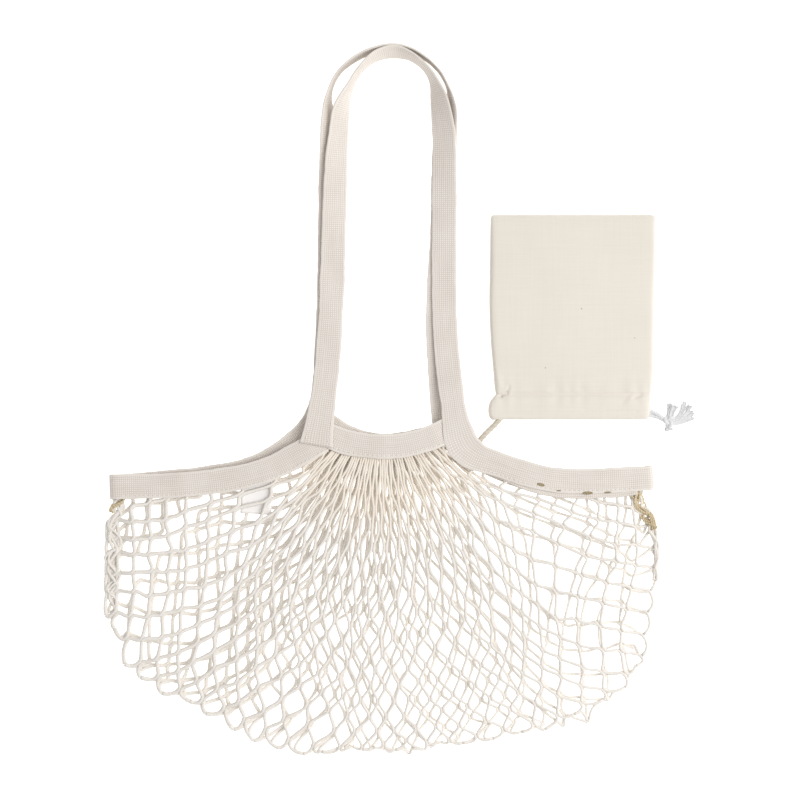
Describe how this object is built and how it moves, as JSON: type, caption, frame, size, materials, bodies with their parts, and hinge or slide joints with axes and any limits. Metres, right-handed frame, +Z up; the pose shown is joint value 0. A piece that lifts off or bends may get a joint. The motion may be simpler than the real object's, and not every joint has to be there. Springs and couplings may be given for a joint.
{
  "type": "net tote bag with pouch",
  "caption": "Cotton net tote bag lying flat, with a tape-bound mouth, long tape handles and a small drawstring pouch tethered to it, into which the bag packs.",
  "frame": {"origin": "on the surface that the bag lies on, under the middle of its outline", "axes": "+X to the lying bag's right, +Y toward the top of the handles, +Z up from the surface"},
  "size_m": [0.4327, 0.5217, 0.0184],
  "materials": {
    "net": "matte twisted cotton",
    "tape": "matte woven cotton tape",
    "label": "white satin, blank",
    "calico": "matte unbleached calico",
    "cord": "matte cotton cord",
    "string": "matte white cotton string"
  },
  "bodies": {
    "root": {"front_net": "net", "back_net": "net", "front_strap": "tape", "back_strap": "tape", "front_centre_band": "tape", "back_centre_band": "tape", "care_label": "label", "pouch": "calico", "pouch_tether": "cord", "drawstring": "string", "drawstring_knot": "string"}
  },
  "joints": []
}
